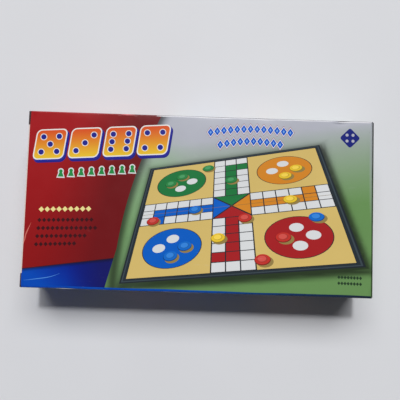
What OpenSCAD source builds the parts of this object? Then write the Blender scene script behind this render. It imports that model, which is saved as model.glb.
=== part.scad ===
// Tuck-end carton of a folding travel board game, with the folding board case inside it.
//
// The carton lies flat with its front panel up. Its centre is over the origin and its back
// panel stands on z = 0. +X runs along the long side, +Y towards the upper long side.
// The carton is a reverse tuck: the right lid folds down from the front panel and tucks in
// over the back panel, and the left lid folds up from the back panel and tucks in under the
// front panel. One end is the other turned half a turn about the carton's Y axis.

/* [Folding case] */
// Side of the square board when it is unfolded
board_side = 245; // [200:1:300]
// Height of one half of the case
half_h = 17; // [15:0.5:24]
// Wall of the two trays
tray_wall = 1.8; // [1.5:0.1:2.5]
// Floor of the two trays, between the sheet and the hollow
tray_floor = 1.5; // [1:0.1:2.5]
// Radius of the outer upright corners
tray_corner_r = 5; // [2.5:0.5:10]
// Radius of the edge round the playing face
tray_edge_r = 1.5; // [0.8:0.1:1.7]
// Frame left round the playing sheet on its three outer sides
frame_w = 6; // [5:0.5:10]
// Frame left between the playing sheet and the fold
seam_w = 1.6; // [1.2:0.1:3]
// Height of the stiffening ribs inside the trays
rib_h = 2; // [1:0.5:3]
// Thickness of the stiffening ribs
rib_t = 1.2; // [0.8:0.1:2]
// Height of the tongue that locates one rim in the other
tongue_h = 1.2; // [0.8:0.1:2]

/* [Printed steel sheets] */
// Thickness of a playing sheet
sheet_t = 0.4; // [0.2:0.05:0.8]
// How far the sheet lies below its frame
sheet_inset = 0.1; // [0.05:0.05:0.3]

/* [Case hinge and catch] */
// Radius of the hinge knuckles
knuckle_r = 2.2; // [2:0.1:3]
// Length of one knuckle
knuckle_l = 7; // [5:0.5:10]
// Distance of each hinge's middle from the end of the case
hinge_inset = 42.5; // [32:0.5:72]
// Diameter of the hinge pins
pin_d = 2; // [1.2:0.1:2.4]
// Width of the catch
catch_w = 16; // [10:1:24]
// Thickness of the catch's spring leg
catch_t = 1; // [0.8:0.1:1.5]
// How far the catch's hook reaches under its ridge
catch_grip = 0.6; // [0.4:0.1:0.9]

/* [Pawns, die and leaflet] */
// Diameter of a pawn's foot
pawn_d = 14; // [12:0.5:15]
// Height of a pawn
pawn_h = 11; // [10:0.5:13]
// Distance between neighbouring pawns
pawn_pitch = 18; // [16:0.5:24]
// Diameter of the magnet in a pawn's foot
magnet_d = 6; // [4:0.5:8]
// Thickness of the magnet
magnet_t = 1.9; // [1:0.1:2.2]
// Side of the die
die_side = 12; // [8:0.5:13]
// Length of the folded leaflet
leaflet_l = 100; // [80:1:110]
// Width of the folded leaflet
leaflet_w = 50; // [30:1:54]
// Thickness of the leaflet's paper
leaflet_paper = 0.15; // [0.1:0.05:0.2]

/* [Carton board] */
// Thickness of the carton's paperboard
card = 0.45; // [0.35:0.05:0.6]
// Outer radius of the four long creases
crease_r = 0.9; // [0.7:0.1:1.4]
// Width of the flap that glues the sleeve shut
glue_flap_w = 14; // [10:1:20]

/* [Carton closures] */
// Length of the tuck tab
tab_l = 10; // [8:0.5:14]
// Length of each slit that locks the end of a tuck tab
slit_l = 10.6; // [9:0.1:14]
// Corner radius of the tuck tab
tab_corner_r = 8; // [4:0.5:8]
// Share of its lid's turn by which a tuck tab springs open
tab_spring = 0.12; // [0.08:0.01:0.16]
// Length of the dust flaps
dust_flap_l = 36; // [24:1:44]
// Slope of a dust flap's relief, in degrees
relief_angle = 24; // [23:1:28]
// Depth of the step that lets the tuck tab pass a dust flap
flap_step = 6; // [5:0.5:8]

/* [Clearances] */
// Sliding room of the case each way along the carton
end_play = 1.45; // [1:0.05:4]
// Room beside the case on each long side
side_play = 2.1; // [1:0.1:4]
// Room between the case and the tuck tab over it
tab_clear = 0.65; // [0.5:0.05:2]
// Least room between the carton's moving pieces and the case
least_gap = 0.3; // [0.2:0.05:0.5]
// Room between a lid and the dust flaps behind it
flap_gap = 0.15; // [0.1:0.05:0.3]
// Room at a crease, between the bead and the panel that turns about it
crease_gap = 0.05; // [0.03:0.01:0.1]
// Room between a raw edge and the panel beside it
edge_gap = 0.1; // [0.05:0.05:0.2]
// Room round a hinge pin
pin_gap = 0.05; // [0.03:0.01:0.1]
// Room between the case's two moulded halves
mould_gap = 0.35; // [0.25:0.05:0.5]

/* [Hidden] */
$fn = 48;
cut = 1;

// The case, in its own frame: centred on x and y, standing on z = 0, hinge towards +Y.
case_l = board_side;
case_w = board_side / 2;
case_h = 2 * half_h;
sheet_depth = sheet_t + sheet_inset;
floor_z = sheet_depth + tray_floor;
sheet_l = case_l - 2 * frame_w;
sheet_w = case_w - frame_w - seam_w;
sheet_y = (frame_w - seam_w) / 2;
sheet_corner_r = 2;
sheet_gap = 0.15;
hollow_l = case_l - 2 * tray_wall;
hollow_w = case_w - 2 * tray_wall;
bay_columns = 4;
bay_pitch = hollow_l / bay_columns;
bay_y = (hollow_w + rib_t) / 4;
tongue_gap = 0.2;
tongue_t = (tray_wall - tongue_gap) / 2;
tongue_stop = 8;
knuckle_gap = 0.15;
hinge_x = case_l / 2 - hinge_inset;
catch_stand = catch_grip + 0.1;
catch_proud = catch_stand + catch_t;
catch_lift = 0.8;
ridge_h = 1.2;
ridge_top = 1.8;
hook_h = 1.4;
catch_root = 7;
bore_d = pin_d + 2 * pin_gap;

// The carton, worked out from what it has to hold.
tab_bow_r = case_h / (1 + 2 * tab_spring);
tab_drop = tab_bow_r - sqrt(tab_bow_r * tab_bow_r - tab_l * tab_l);
top_room = crease_gap + tab_drop + card + tab_clear;
left_room = flap_gap + card + least_gap + end_play;
right_room = tab_l + least_gap + end_play;
inner_l = case_l + left_room + right_room;
inner_w = case_w + knuckle_r + catch_proud + 2 * side_play + card;
inner_h = case_h + top_room;
carton_l = inner_l + 2 * card;
carton_w = inner_w + 2 * card;
carton_h = inner_h + 2 * card;
half_l = carton_l / 2;
half_w = carton_w / 2;
case_place = [
    -inner_l / 2 + left_room + case_l / 2,
    -inner_w / 2 + side_play + catch_proud + case_w / 2,
    card
];

// Crease lines of the closures, written for the right end.
lid_x = half_l - card;
lid_z = carton_h - card;
tab_z = card + crease_gap + card;
raw_end_x = lid_x - edge_gap;
flap_x = lid_x - flap_gap - card;
flap_y = half_w - card;
slit_y = half_w - slit_l;
tab_half_w = slit_y - crease_gap;
crease_start = card + crease_gap;
lid_side_gap = 0.3;
seam_edge_z = 0.4;
glue_flap_end = 4;
glue_flap_taper = 6;
flap_tip_r = 3;
relief_start = 0.8;

// The pawns.
PAWN_COLOURS = ["red", "green", "blue", "yellow"];
PAWN_PAINT = ["crimson", "forestgreen", "royalblue", "gold"];
PAWNS_EACH = 4;
pawn_foot_h = 3.4;
pawn_waist_d = 9;
pawn_cap_d = 10.4;
pawn_round = 0.7;
magnet_gap = 0.1;

function pawn_name(c, i) = str(PAWN_COLOURS[c], "_pawn_", i);
function magnets_name(c) = str(PAWN_COLOURS[c], "_pawn_magnets");
function pawn_place(c, i) = [
    (c - (len(PAWN_COLOURS) - 1) / 2) * bay_pitch + (i % 2 - 0.5) * pawn_pitch,
    -bay_y + (floor((i - 1) / 2) - 0.5) * pawn_pitch,
    floor_z
];

// Outlines

function unit(v) = v / norm(v);

// Points of the arc that rounds the corner p between its neighbours a and b.
function corner_arc(a, p, b, r, steps) =
    let(
        u = unit(a - p),
        v = unit(b - p),
        bend = acos(u * v),
        centre = p + unit(u + v) * r / sin(bend / 2),
        reach = r / tan(bend / 2),
        first = p + u * reach - centre,
        last = p + v * reach - centre,
        sweep = 180 - bend
    )
    [for (k = [0:steps])
        centre + (sin(sweep * (1 - k / steps)) * first + sin(sweep * k / steps) * last) / sin(sweep)];

// An outline with each corner rounded by its own radius, or left sharp where that is 0.
function rounded(points, radii, steps = 8) =
    let(n = len(points))
    [for (i = [0:n - 1])
        each radii[i] == 0
            ? [points[i]]
            : corner_arc(points[(i + n - 1) % n], points[i], points[(i + 1) % n], radii[i], steps)];

// A rectangle centred on the origin, with one radius at its -Y corners and one at its +Y corners.
function plate_outline(l, w, r_front, r_back) =
    rounded(
        [[-l / 2, -w / 2], [l / 2, -w / 2], [l / 2, w / 2], [-l / 2, w / 2]],
        [r_front, r_front, r_back, r_back]
    );

// Placing

// Turns the right end of the carton into the left end, and its top into its underside.
module turned() {
    translate([0, 0, carton_h]) rotate([0, 180, 0]) children();
}

// Puts a piece of the case into the carton.
module in_carton() {
    translate(case_place) children();
}

// Turns the base half over into the cover half.
module turned_over() {
    translate([0, 0, case_h]) mirror([0, 0, 1]) children();
}

// Lifts a shape drawn in the YZ plane and gives it a length along X, centred on x.
module along_x(x, l) {
    translate([x - l / 2, 0, 0]) rotate([90, 0, 90]) linear_extrude(l) children();
}

// Lifts a shape drawn in the XZ plane and gives it a length along Y, centred on y.
module along_y(y, l) {
    translate([0, y + l / 2, 0]) rotate([90, 0, 0]) linear_extrude(l) children();
}

// The carton's sleeve

// A rounded long crease at the top of the carton: it turns down at +Y, outer face at edge_y.
// It starts inside the flat panel, so that the two are one piece of board.
module long_crease(edge_y) {
    along_x(0, 2 * raw_end_x)
        translate([edge_y - crease_r, carton_h - crease_r]) {
            intersection() {
                difference() {
                    circle(crease_r);
                    circle(crease_r - card);
                }
                square(crease_r);
            }
            translate([-card, crease_r - card]) square(card);
        }
}

// A wide panel at the top, from y_low to y_high, with its lid's crease bead at the right end.
module wide_panel(y_low, y_high) {
    translate([-raw_end_x, y_low, lid_z])
        cube([raw_end_x + lid_x, y_high - y_low, card]);
    translate([lid_x, y_low, lid_z])
        rotate([-90, 0, 0]) cylinder(r = card, h = y_high - y_low);
}

module front_panel() {
    color("darkseagreen") {
        wide_panel(-half_w + crease_r, half_w - crease_r);
        for (side = [0, 1])
            mirror([0, side, 0]) long_crease(half_w);
    }
}

module back_panel() {
    color("gainsboro") turned() {
        wide_panel(-half_w + crease_r, half_w - card - crease_r);
        long_crease(half_w - card);
        mirror([0, 1, 0]) long_crease(half_w);
    }
}

// A long side panel, from z_low to z_high, with the dust flaps' crease beads at its ends.
module side_panel(z_low, z_high) {
    translate([-flap_x, flap_y, z_low])
        cube([2 * flap_x, card, z_high - z_low]);
    for (end = [-1, 1])
        translate([end * flap_x, flap_y, crease_r]) cylinder(r = card, h = carton_h - 2 * crease_r);
}

module upper_side_panel() {
    color("darkseagreen") side_panel(seam_edge_z, carton_h - crease_r);
}

module lower_side_panel() {
    color("royalblue") mirror([0, 1, 0]) side_panel(crease_r, carton_h - crease_r);
}

// The strip that the sleeve is glued with, inside the upper side panel.
module glue_flap() {
    root = flap_x - glue_flap_end;
    tip = root - glue_flap_taper;
    color("gainsboro")
        along_y(flap_y - card / 2, card)
            polygon([[-root, crease_r], [root, crease_r], [tip, glue_flap_w], [-tip, glue_flap_w]]);
}

// The closure at the right end, with its lid on the front panel

// The lid covers the end. Beside the slits it stands full height, and between them it ends
// in the bead that the tuck tab turns about.
module lid() {
    edge = half_w - lid_side_gap;
    low = edge_gap / 2;
    translate([lid_x, 0, 0]) rotate([90, 0, 90]) linear_extrude(card)
        polygon([
            [-edge, lid_z - crease_start], [-edge, low], [-slit_y, low], [-slit_y, tab_z],
            [slit_y, tab_z], [slit_y, low], [edge, low], [edge, lid_z - crease_start]
        ]);
    translate([lid_x, -tab_half_w, tab_z])
        rotate([-90, 0, 0]) cylinder(r = card, h = 2 * tab_half_w);
}

// The tuck tab is bowed to an arc, so that it slides out along the panel as its lid turns.
module tuck_tab() {
    low = tab_z - card;
    intersection() {
        along_y(0, 2 * tab_half_w)
            intersection() {
                translate([lid_x, low + tab_bow_r])
                    difference() {
                        circle(tab_bow_r, $fn = 192);
                        circle(tab_bow_r - card, $fn = 192);
                    }
                translate([lid_x - tab_l, 0])
                    square([tab_l - crease_start, low + tab_bow_r]);
            }
        linear_extrude(carton_h)
            polygon(rounded(
                [
                    [lid_x, -tab_half_w], [lid_x, tab_half_w],
                    [lid_x - tab_l, tab_half_w], [lid_x - tab_l, -tab_half_w]
                ],
                [0, 0, tab_corner_r, tab_corner_r]
            ));
    }
}

// A dust flap on the upper side panel. Its shoulder stands behind the lid's slit, its step
// lets the tuck tab pass, and its relief keeps it clear of the lid as both turn.
module dust_flap() {
    floor_w = card + edge_gap;
    ceiling = lid_z - relief_start;
    shoulder = slit_l - 3 * card - 2 * edge_gap;
    step_end = shoulder + flap_step;
    slope = tan(relief_angle);
    translate([flap_x, flap_y, 0]) rotate([90, 0, 90]) linear_extrude(card)
        polygon(rounded(
            [
                [-crease_start, floor_w],
                [-shoulder, floor_w],
                [-step_end, floor_w + flap_step],
                [-dust_flap_l, floor_w + flap_step],
                [-dust_flap_l, ceiling - slope * dust_flap_l],
                [-crease_start, ceiling - slope * crease_start]
            ],
            [crease_r, 1, 1, flap_tip_r, flap_tip_r, 0]
        ));
}

module right_lid() {
    color("darkseagreen") lid();
}

module right_tuck_tab() {
    color("darkseagreen") tuck_tab();
}

module right_dust_flap_upper() {
    color("gainsboro") dust_flap();
}

module right_dust_flap_lower() {
    color("gainsboro") mirror([0, 1, 0]) dust_flap();
}

module left_lid() {
    color("firebrick") turned() lid();
}

module left_tuck_tab() {
    color("firebrick") turned() tuck_tab();
}

module left_dust_flap_upper() {
    color("gainsboro") turned() dust_flap();
}

module left_dust_flap_lower() {
    color("gainsboro") turned() mirror([0, 1, 0]) dust_flap();
}

// The folding case

// A tray's outer form: a block with rounded upright corners and a rounded lower edge.
module tray_block() {
    seam_r = tray_edge_r / 2;
    intersection() {
        linear_extrude(half_h)
            polygon(plate_outline(case_l, case_w, tray_corner_r, seam_r));
        along_x(0, case_l + cut)
            polygon(rounded(
                [[-case_w / 2, 0], [case_w / 2, 0], [case_w / 2, half_h], [-case_w / 2, half_h]],
                [tray_edge_r, seam_r, 0, 0]
            ));
        along_y(0, case_w + cut)
            polygon(rounded(
                [[-case_l / 2, 0], [case_l / 2, 0], [case_l / 2, half_h], [-case_l / 2, half_h]],
                [tray_edge_r, tray_edge_r, 0, 0]
            ));
    }
}

// The stiffening ribs on a tray's floor, one along it and the others across it.
module ribs() {
    translate([-hollow_l / 2 - cut / 2, -rib_t / 2, floor_z - cut / 2])
        cube([hollow_l + cut, rib_t, rib_h + cut / 2]);
    for (k = [1:bay_columns - 1])
        translate([-hollow_l / 2 + k * bay_pitch - rib_t / 2, -hollow_w / 2 - cut / 2, floor_z - cut / 2])
            cube([rib_t, hollow_w + cut, rib_h + cut / 2]);
}

// A tray, open at the top, with the recess for its playing sheet underneath.
module tray() {
    inner_r = max(tray_corner_r - tray_wall, 0.6);
    difference() {
        tray_block();
        translate([0, 0, floor_z]) linear_extrude(half_h)
            polygon(plate_outline(hollow_l, hollow_w, inner_r, 0.6));
        translate([0, sheet_y, -cut]) linear_extrude(sheet_depth + cut)
            polygon(plate_outline(sheet_l, sheet_w, sheet_corner_r, sheet_corner_r));
    }
    ribs();
}

// The ring between two insets from the tray's outer wall, left off near the hinge.
module rim_ring(inset_out, inset_in, h) {
    module inset_plan(inset) {
        polygon(plate_outline(
            case_l - 2 * inset, case_w - 2 * inset, max(tray_corner_r - inset, 0.6), 0.6
        ));
    }
    linear_extrude(h) difference() {
        inset_plan(inset_out);
        inset_plan(inset_in);
        translate([-case_l, case_w / 2 - tongue_stop]) square([2 * case_l, case_w]);
    }
}

// A knuckle position counted from the hinge's middle: -1, 0 and 1.
module at_knuckles(places) {
    for (station = [-1, 1], place = places)
        translate([station * hinge_x + place * knuckle_l, case_w / 2, half_h])
            rotate([0, 90, 0]) children();
}

module knuckles(places) {
    at_knuckles(places) cylinder(r = knuckle_r, h = knuckle_l - 2 * knuckle_gap, center = true);
}

module knuckle_notches(places) {
    at_knuckles(places) cylinder(r = knuckle_r + mould_gap, h = knuckle_l + 2 * knuckle_gap, center = true);
}

module pin_bores() {
    at_knuckles([0]) cylinder(d = bore_d, h = 3 * knuckle_l + 2 * cut, center = true);
}

// The ridge on the base's front wall that the catch hooks under.
module catch_ridge() {
    top = half_h - ridge_top;
    along_x(0, catch_w)
        translate([-case_w / 2, 0])
            polygon([
                [cut / 2, top], [0, top], [-catch_grip, top - catch_grip],
                [-catch_grip, top - ridge_h], [cut / 2, top - ridge_h]
            ]);
}

// The catch, moulded on the cover: a root on its front wall and a spring leg with a hook.
module catch_leg() {
    face = -case_w / 2;
    hook_top = half_h - ridge_top - ridge_h - catch_lift;
    leg_in = face - catch_stand;
    leg_out = leg_in - catch_t;
    root_low = half_h + mould_gap;
    root_high = half_h + catch_root;
    along_x(0, catch_w)
        polygon([
            [face + cut / 2, root_low], [leg_in, root_low], [leg_in, hook_top],
            [face - 0.1, hook_top], [face - 0.1, hook_top - hook_h / 2], [leg_in, hook_top - hook_h],
            [leg_out, hook_top - hook_h], [leg_out, root_high - catch_proud],
            [face, root_high], [face + cut / 2, root_high]
        ]);
}

module base_half() {
    color([0.12, 0.13, 0.15]) in_carton()
        difference() {
            union() {
                difference() {
                    union() {
                        tray();
                        translate([0, 0, half_h - cut])
                            rim_ring(tray_wall - tongue_t, tray_wall, tongue_h + cut);
                    }
                    knuckle_notches([0]);
                }
                knuckles([-1, 1]);
                catch_ridge();
            }
            pin_bores();
        }
}

module cover_half() {
    color([0.12, 0.13, 0.15]) in_carton()
        difference() {
            union() {
                difference() {
                    turned_over() tray();
                    translate([0, 0, half_h - cut])
                        rim_ring(tongue_t, tray_wall + cut, cut + tongue_h + mould_gap);
                    knuckle_notches([-1, 1]);
                }
                knuckles([0]);
                catch_leg();
            }
            pin_bores();
        }
}

// A playing sheet, laid in the recess of its tray.
module play_sheet() {
    translate([0, sheet_y, sheet_inset]) linear_extrude(sheet_t)
        polygon(plate_outline(
            sheet_l - 2 * sheet_gap, sheet_w - 2 * sheet_gap,
            sheet_corner_r - sheet_gap, sheet_corner_r - sheet_gap
        ));
}

module base_play_sheet() {
    color("khaki") in_carton() play_sheet();
}

module cover_play_sheet() {
    color("khaki") in_carton() turned_over() play_sheet();
}

// A hinge pin fills its three knuckles from end to end.
module hinge_pin(station) {
    pin_l = 3 * knuckle_l - 2 * knuckle_gap;
    color("silver") in_carton()
        translate([station * hinge_x, case_w / 2, half_h])
            rotate([0, 90, 0]) cylinder(d = pin_d, h = pin_l, center = true);
}

module hinge_pin_left() {
    hinge_pin(-1);
}

module hinge_pin_right() {
    hinge_pin(1);
}

// What the case holds

// One pawn, turned from its foot, waist and cap, with a pocket for the magnet underneath.
module pawn_body() {
    foot_r = pawn_d / 2;
    waist_r = pawn_waist_d / 2;
    cap_r = pawn_cap_d / 2;
    cap_z = pawn_h - cap_r * 0.62;
    waist_z = pawn_foot_h + 0.8;
    difference() {
        rotate_extrude()
            polygon(rounded(
                [
                    [0, 0], [foot_r, 0], [foot_r, pawn_foot_h], [waist_r, waist_z],
                    [cap_r, cap_z], [cap_r * 0.74, pawn_h], [0, pawn_h]
                ],
                [0, pawn_round / 2, pawn_round, pawn_round, pawn_round, 2.2, 0]
            ));
        translate([0, 0, -cut]) cylinder(d = magnet_d + 2 * magnet_gap, h = magnet_t + magnet_gap + cut);
    }
}

module pawn(c, i) {
    color(PAWN_PAINT[c]) in_carton()
        translate(pawn_place(c, i)) pawn_body();
}

module pawn_magnets(c) {
    color("dimgray") in_carton()
        for (i = [1:PAWNS_EACH])
            translate(pawn_place(c, i) + [0, 0, magnet_gap]) cylinder(d = magnet_d, h = magnet_t);
}

// The die: a cube with its corners turned off, and its pips sunk as shallow bowls.
module die() {
    bowl_r = die_side * 0.11;
    sink = bowl_r * 0.55;
    step = die_side * 0.26;
    faces = [
        [[0, 0, 0], [[0, 0]]],
        [[180, 0, 0], [for (a = [-1, 1], b = [-1, 0, 1]) [a, b]]],
        [[90, 0, 0], [[-1, -1], [1, 1]]],
        [[-90, 0, 0], [for (a = [-1, 1], b = [-1, 1]) [a, b], [0, 0]]],
        [[0, 90, 0], [[-1, -1], [0, 0], [1, 1]]],
        [[0, -90, 0], [for (a = [-1, 1], b = [-1, 1]) [a, b]]]
    ];
    color("white") in_carton()
        translate([bay_pitch * (bay_columns - 1) / 2, bay_y, floor_z + die_side / 2])
            difference() {
                intersection() {
                    cube(die_side, center = true);
                    sphere(r = die_side * 0.715);
                }
                for (face = faces)
                    rotate(face[0])
                        for (pip = face[1])
                            translate([pip.x * step, pip.y * step, die_side / 2 + bowl_r - sink])
                                sphere(r = bowl_r);
            }
}

// The leaflet: one strip of paper in four layers, resting on two ribs.
module rules_leaflet() {
    layers = 4;
    gap = 2 * leaflet_paper;
    pitch = leaflet_paper + gap;
    fold_r = (pitch + leaflet_paper) / 2;
    color("whitesmoke") in_carton()
        translate([-bay_pitch / 2, bay_y - leaflet_w / 2, floor_z + rib_h])
            along_y(leaflet_w / 2, leaflet_w) {
                for (k = [0:layers - 1])
                    translate([-leaflet_l / 2 + fold_r, k * pitch])
                        square([leaflet_l - 2 * fold_r, leaflet_paper]);
                for (k = [0:layers - 2])
                    translate([(k % 2 == 0 ? 1 : -1) * (leaflet_l / 2 - fold_r), k * pitch + fold_r])
                        intersection() {
                            difference() {
                                circle(fold_r);
                                circle(fold_r - leaflet_paper);
                            }
                            translate([k % 2 == 0 ? 0 : -fold_r, -fold_r])
                                square([fold_r, 2 * fold_r]);
                        }
            }
}

front_panel();
back_panel();
upper_side_panel();
lower_side_panel();
glue_flap();
left_lid();
left_tuck_tab();
left_dust_flap_upper();
left_dust_flap_lower();
right_lid();
right_tuck_tab();
right_dust_flap_upper();
right_dust_flap_lower();
base_half();
cover_half();
base_play_sheet();
cover_play_sheet();
hinge_pin_left();
hinge_pin_right();
die();
rules_leaflet();
for (c = [0:len(PAWN_COLOURS) - 1], i = [1:PAWNS_EACH])
    pawn(c, i);
for (c = [0:len(PAWN_COLOURS) - 1])
    pawn_magnets(c);
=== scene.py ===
"""Looks of a printed tuck-end game carton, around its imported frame.

The carton lies on a pale table with its front panel up. Lengths in this file are in
millimetres and become metres where a mesh is made.
"""

import math

import bpy
import numpy as np
from mathutils.geometry import delaunay_2d_cdt
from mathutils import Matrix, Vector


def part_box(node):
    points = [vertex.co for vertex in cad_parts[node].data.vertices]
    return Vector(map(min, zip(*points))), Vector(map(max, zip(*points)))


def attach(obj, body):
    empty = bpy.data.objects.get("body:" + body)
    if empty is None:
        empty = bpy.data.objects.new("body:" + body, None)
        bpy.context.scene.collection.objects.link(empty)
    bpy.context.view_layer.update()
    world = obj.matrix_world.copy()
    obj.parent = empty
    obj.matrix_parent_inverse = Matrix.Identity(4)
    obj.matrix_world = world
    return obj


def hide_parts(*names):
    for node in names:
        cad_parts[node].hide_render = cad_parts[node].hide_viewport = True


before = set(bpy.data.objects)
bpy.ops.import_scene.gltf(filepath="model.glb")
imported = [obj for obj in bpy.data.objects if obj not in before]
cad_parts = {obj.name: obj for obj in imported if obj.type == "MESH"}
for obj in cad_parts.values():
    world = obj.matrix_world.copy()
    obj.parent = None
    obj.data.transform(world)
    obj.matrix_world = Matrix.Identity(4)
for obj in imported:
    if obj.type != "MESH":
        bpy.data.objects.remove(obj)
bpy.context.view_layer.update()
scene = bpy.context.scene
MM = 0.001

# The table, the daylight and the eye.
# A pale matt table top. Daylight comes from behind the carton, partly straight from a window and
# mostly from a wide stretch of sky. The room fills the shadow in. The camera looks nearly down.
TABLE_INK = (219, 220, 224)
ROOM_FILL, ROOM_SEEN = 0.06, 0.5
EYE = (0.2, -13.8, 335.6)
EYE_TURN = (3.17, -0.19, 1.86)


def light_of(colour):
    """Linear light of a colour given as sRGB numbers from 0 to 255: the sRGB curve undone."""
    c = np.asarray(colour, float) / 255
    return np.where(c <= 0.04045, c / 12.92, ((c + 0.055) / 1.055) ** 2.4)


class Recipe:
    """A material's node tree, written as sums: each call adds one node and gives its socket."""

    def __init__(self, name):
        self.material = bpy.data.materials.new(name)
        self.material.use_nodes = True
        self.tree = self.material.node_tree
        self.skin = self.tree.nodes["Principled BSDF"]

    def node(self, kind, out=0, settings=(), **inputs):
        """Adds a node. Inputs are fed by name, or by number as _0, _1. Gives output number out."""
        made = self.tree.nodes.new("ShaderNode" + kind)
        for key, value in dict(settings).items():
            setattr(made, key, value)
        for key, value in inputs.items():
            socket = made.inputs[int(key[1:])] if key[0] == "_" else made.inputs[key]
            self.feed(socket, value)
        return made.outputs[out]

    def feed(self, socket, value):
        """Links a socket, or sets a plain number, vector or colour on it."""
        if isinstance(value, bpy.types.NodeSocket):
            self.tree.links.new(value, socket)
        elif socket.type == "RGBA":
            socket.default_value = (*value, 1.0)
        else:
            socket.default_value = value

    def math(self, operation, a, b=0.0, c=0.0):
        """One sum on up to three numbers."""
        return self.node("Math", 0, {"operation": operation}, _0=a, _1=b, _2=c)

    def split(self, vector):
        """The x, y and z of a vector, each as a socket."""
        return self.node("SeparateXYZ", _0=vector).node.outputs[:]

    def ramp(self, value, low, high, start=0.0, end=1.0):
        """Goes from start to end as value goes from low to high, eased at both ends."""
        eased = {"interpolation_type": "SMOOTHSTEP"}
        return self.node("MapRange", 0, eased, _0=value, _1=low, _2=high, _3=start, _4=end)

    def mix(self, share, a, b):
        """Colour a where share is 0 and colour b where it is 1."""
        return self.node("Mix", 2, {"data_type": "RGBA"}, _0=share, _6=a, _7=b)

    def vector(self, operation, a, b=(0.0, 0.0, 0.0), out=0):
        """One sum on one or two vectors. Output 1 is a number, such as a length."""
        return self.node("VectorMath", out, {"operation": operation}, _0=a, _1=b)

    def ink(self, tone):
        """The mesh's own printed colour, times tone."""
        ink = self.node("Attribute", settings={"attribute_name": "ink"})
        return self.node("VectorMath", 0, {"operation": "SCALE"}, _0=ink, Scale=tone)

    def place(self, stretch=None):
        """The point on the object, in metres, times stretch."""
        point = self.node("TexCoord", 3)
        return self.vector("MULTIPLY", point, stretch) if stretch else point

    def noise(self, size, detail=3.0, stretch=None, rough=0.5):
        """Cloudy noise from 0 to 1 with lumps about size millimetres across."""
        return self.node(
            "TexNoise", Vector=self.place(stretch), Scale=1 / (size * MM), Detail=detail,
            Roughness=rough,
        )

    def bumps(self, height, depth, below=None):
        """Tilts the surface as a relief depth millimetres deep would."""
        inputs = {"Height": height, "Distance": depth * MM}
        if below is not None:
            inputs["Normal"] = below
        return self.node("Bump", **inputs)

    def finish(self, **sockets):
        """Feeds the shader's own sockets and gives the material."""
        for name, value in sockets.items():
            self.feed(self.skin.inputs[name.replace("_", " ")], value)
        return self.material


def table_top():
    """The table's paint: its colour with a faint cloud and a fine grain."""
    paint = Recipe("table_paint")
    cloud = paint.ramp(paint.noise(120), 0.3, 0.7)
    colour = paint.mix(cloud, light_of(np.subtract(TABLE_INK, 2)), light_of(TABLE_INK))
    return paint.finish(
        Base_Color=colour, Roughness=0.75, Normal=paint.bumps(paint.noise(0.8), 0.02)
    )


def lamp(name, kind, energy, place, turn, **settings):
    """A light at a place in millimetres, turned by degrees about x, y and z."""
    data = bpy.data.lights.new(name, kind)
    data.energy = energy
    for key, value in settings.items():
        setattr(data, key, value)
    made = bpy.data.objects.new(name, data)
    made.location = np.multiply(place, MM)
    made.rotation_euler = np.radians(turn)
    scene.collection.objects.link(made)


table_mesh = bpy.data.meshes.new("table")
table_mesh.from_pydata([(-3, -3, 0), (3, -3, 0), (3, 3, 0), (-3, 3, 0)], [], [(0, 1, 2, 3)])
table = bpy.data.objects.new("table", table_mesh)
table_mesh.materials.append(table_top())
scene.collection.objects.link(table)

lamp("window", "SUN", 1.26, (-40, 1330, 2150), (-31.6, 0, 0), angle=0.1)
lamp("sky", "AREA", 820, (0, 6756, 7373), (-42.5, 0, 0), shape="RECTANGLE", size=10, size_y=3.4)
world = bpy.data.worlds.new("room")
world.use_nodes = True
room = world.node_tree
rays = room.nodes.new("ShaderNodeLightPath")
shown = room.nodes.new("ShaderNodeMath")
shown.operation = "MAXIMUM"
room.links.new(rays.outputs["Is Camera Ray"], shown.inputs[0])
room.links.new(rays.outputs["Is Glossy Ray"], shown.inputs[1])
level = room.nodes.new("ShaderNodeMapRange")
room.links.new(shown.outputs[0], level.inputs[0])
level.inputs["To Min"].default_value = ROOM_FILL
level.inputs["To Max"].default_value = ROOM_SEEN
glow = room.nodes["Background"]
glow.inputs["Color"].default_value = (0.97, 0.98, 1.0, 1.0)
room.links.new(level.outputs[0], glow.inputs["Strength"])
scene.world = world
scene.view_settings.view_transform = "Standard"

camera = bpy.data.objects.new("eye", bpy.data.cameras.new("eye"))
camera.data.lens = 36
camera.location = np.multiply(EYE, MM)
camera.rotation_euler = np.radians(EYE_TURN)
scene.collection.objects.link(camera)
scene.camera = camera

# The front panel.
# Folding boxboard 0.45 mm thick, printed and varnished outside and bare inside. It rolls over
# a crease into each long side and, at the right end, into its lid. Its left edge is a raw cut.
CARD = 0.45
CREASE_R = 0.9
RAW_END = 129.45
LID_X = 129.55
_, HALF_W, TOP = np.array(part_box("front_panel")[1]) / MM
FLAT_W = HALF_W - CREASE_R
SLIT_Y = HALF_W - 10.6
ROLL = CREASE_R * math.pi / 2
SPAN = FLAT_W + ROLL
WORN_X = 130.4
RED, RED_LOW, RED_EDGE = (162, 22, 28), (136, 16, 18), (110, 15, 20)
SKY, LEAF, GLOW = (181, 183, 194), (104, 144, 86), (146, 192, 138)
BLUE, DEEP_BLUE, NAVY = (2, 74, 184), (2, 26, 134), (16, 20, 98)
LINE, WHITE = (38, 40, 46), (222, 224, 226)
YARDS = ((30, 118, 62), (216, 136, 40), (166, 32, 36), (6, 94, 197))
FACE, RIM = (216, 188, 112), (36, 45, 52)
# The pale raw cut edge, and dark ink for painted shade on its ends beyond the slits.
PULP, CUT_EDGE_SHADE = (224, 206, 200), (66, 44, 46)


def blend(a, b, share):
    """Printed colours from a at share 0 to b at share 1, one for each share."""
    share = np.clip(share, 0, 1)[..., None]
    return np.multiply(a, 1 - share) + np.multiply(b, share)


def tinted(ink, colour, share):
    """Inks drawn towards one colour by a share for each."""
    return ink + (colour - ink) * share[..., None]


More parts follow.
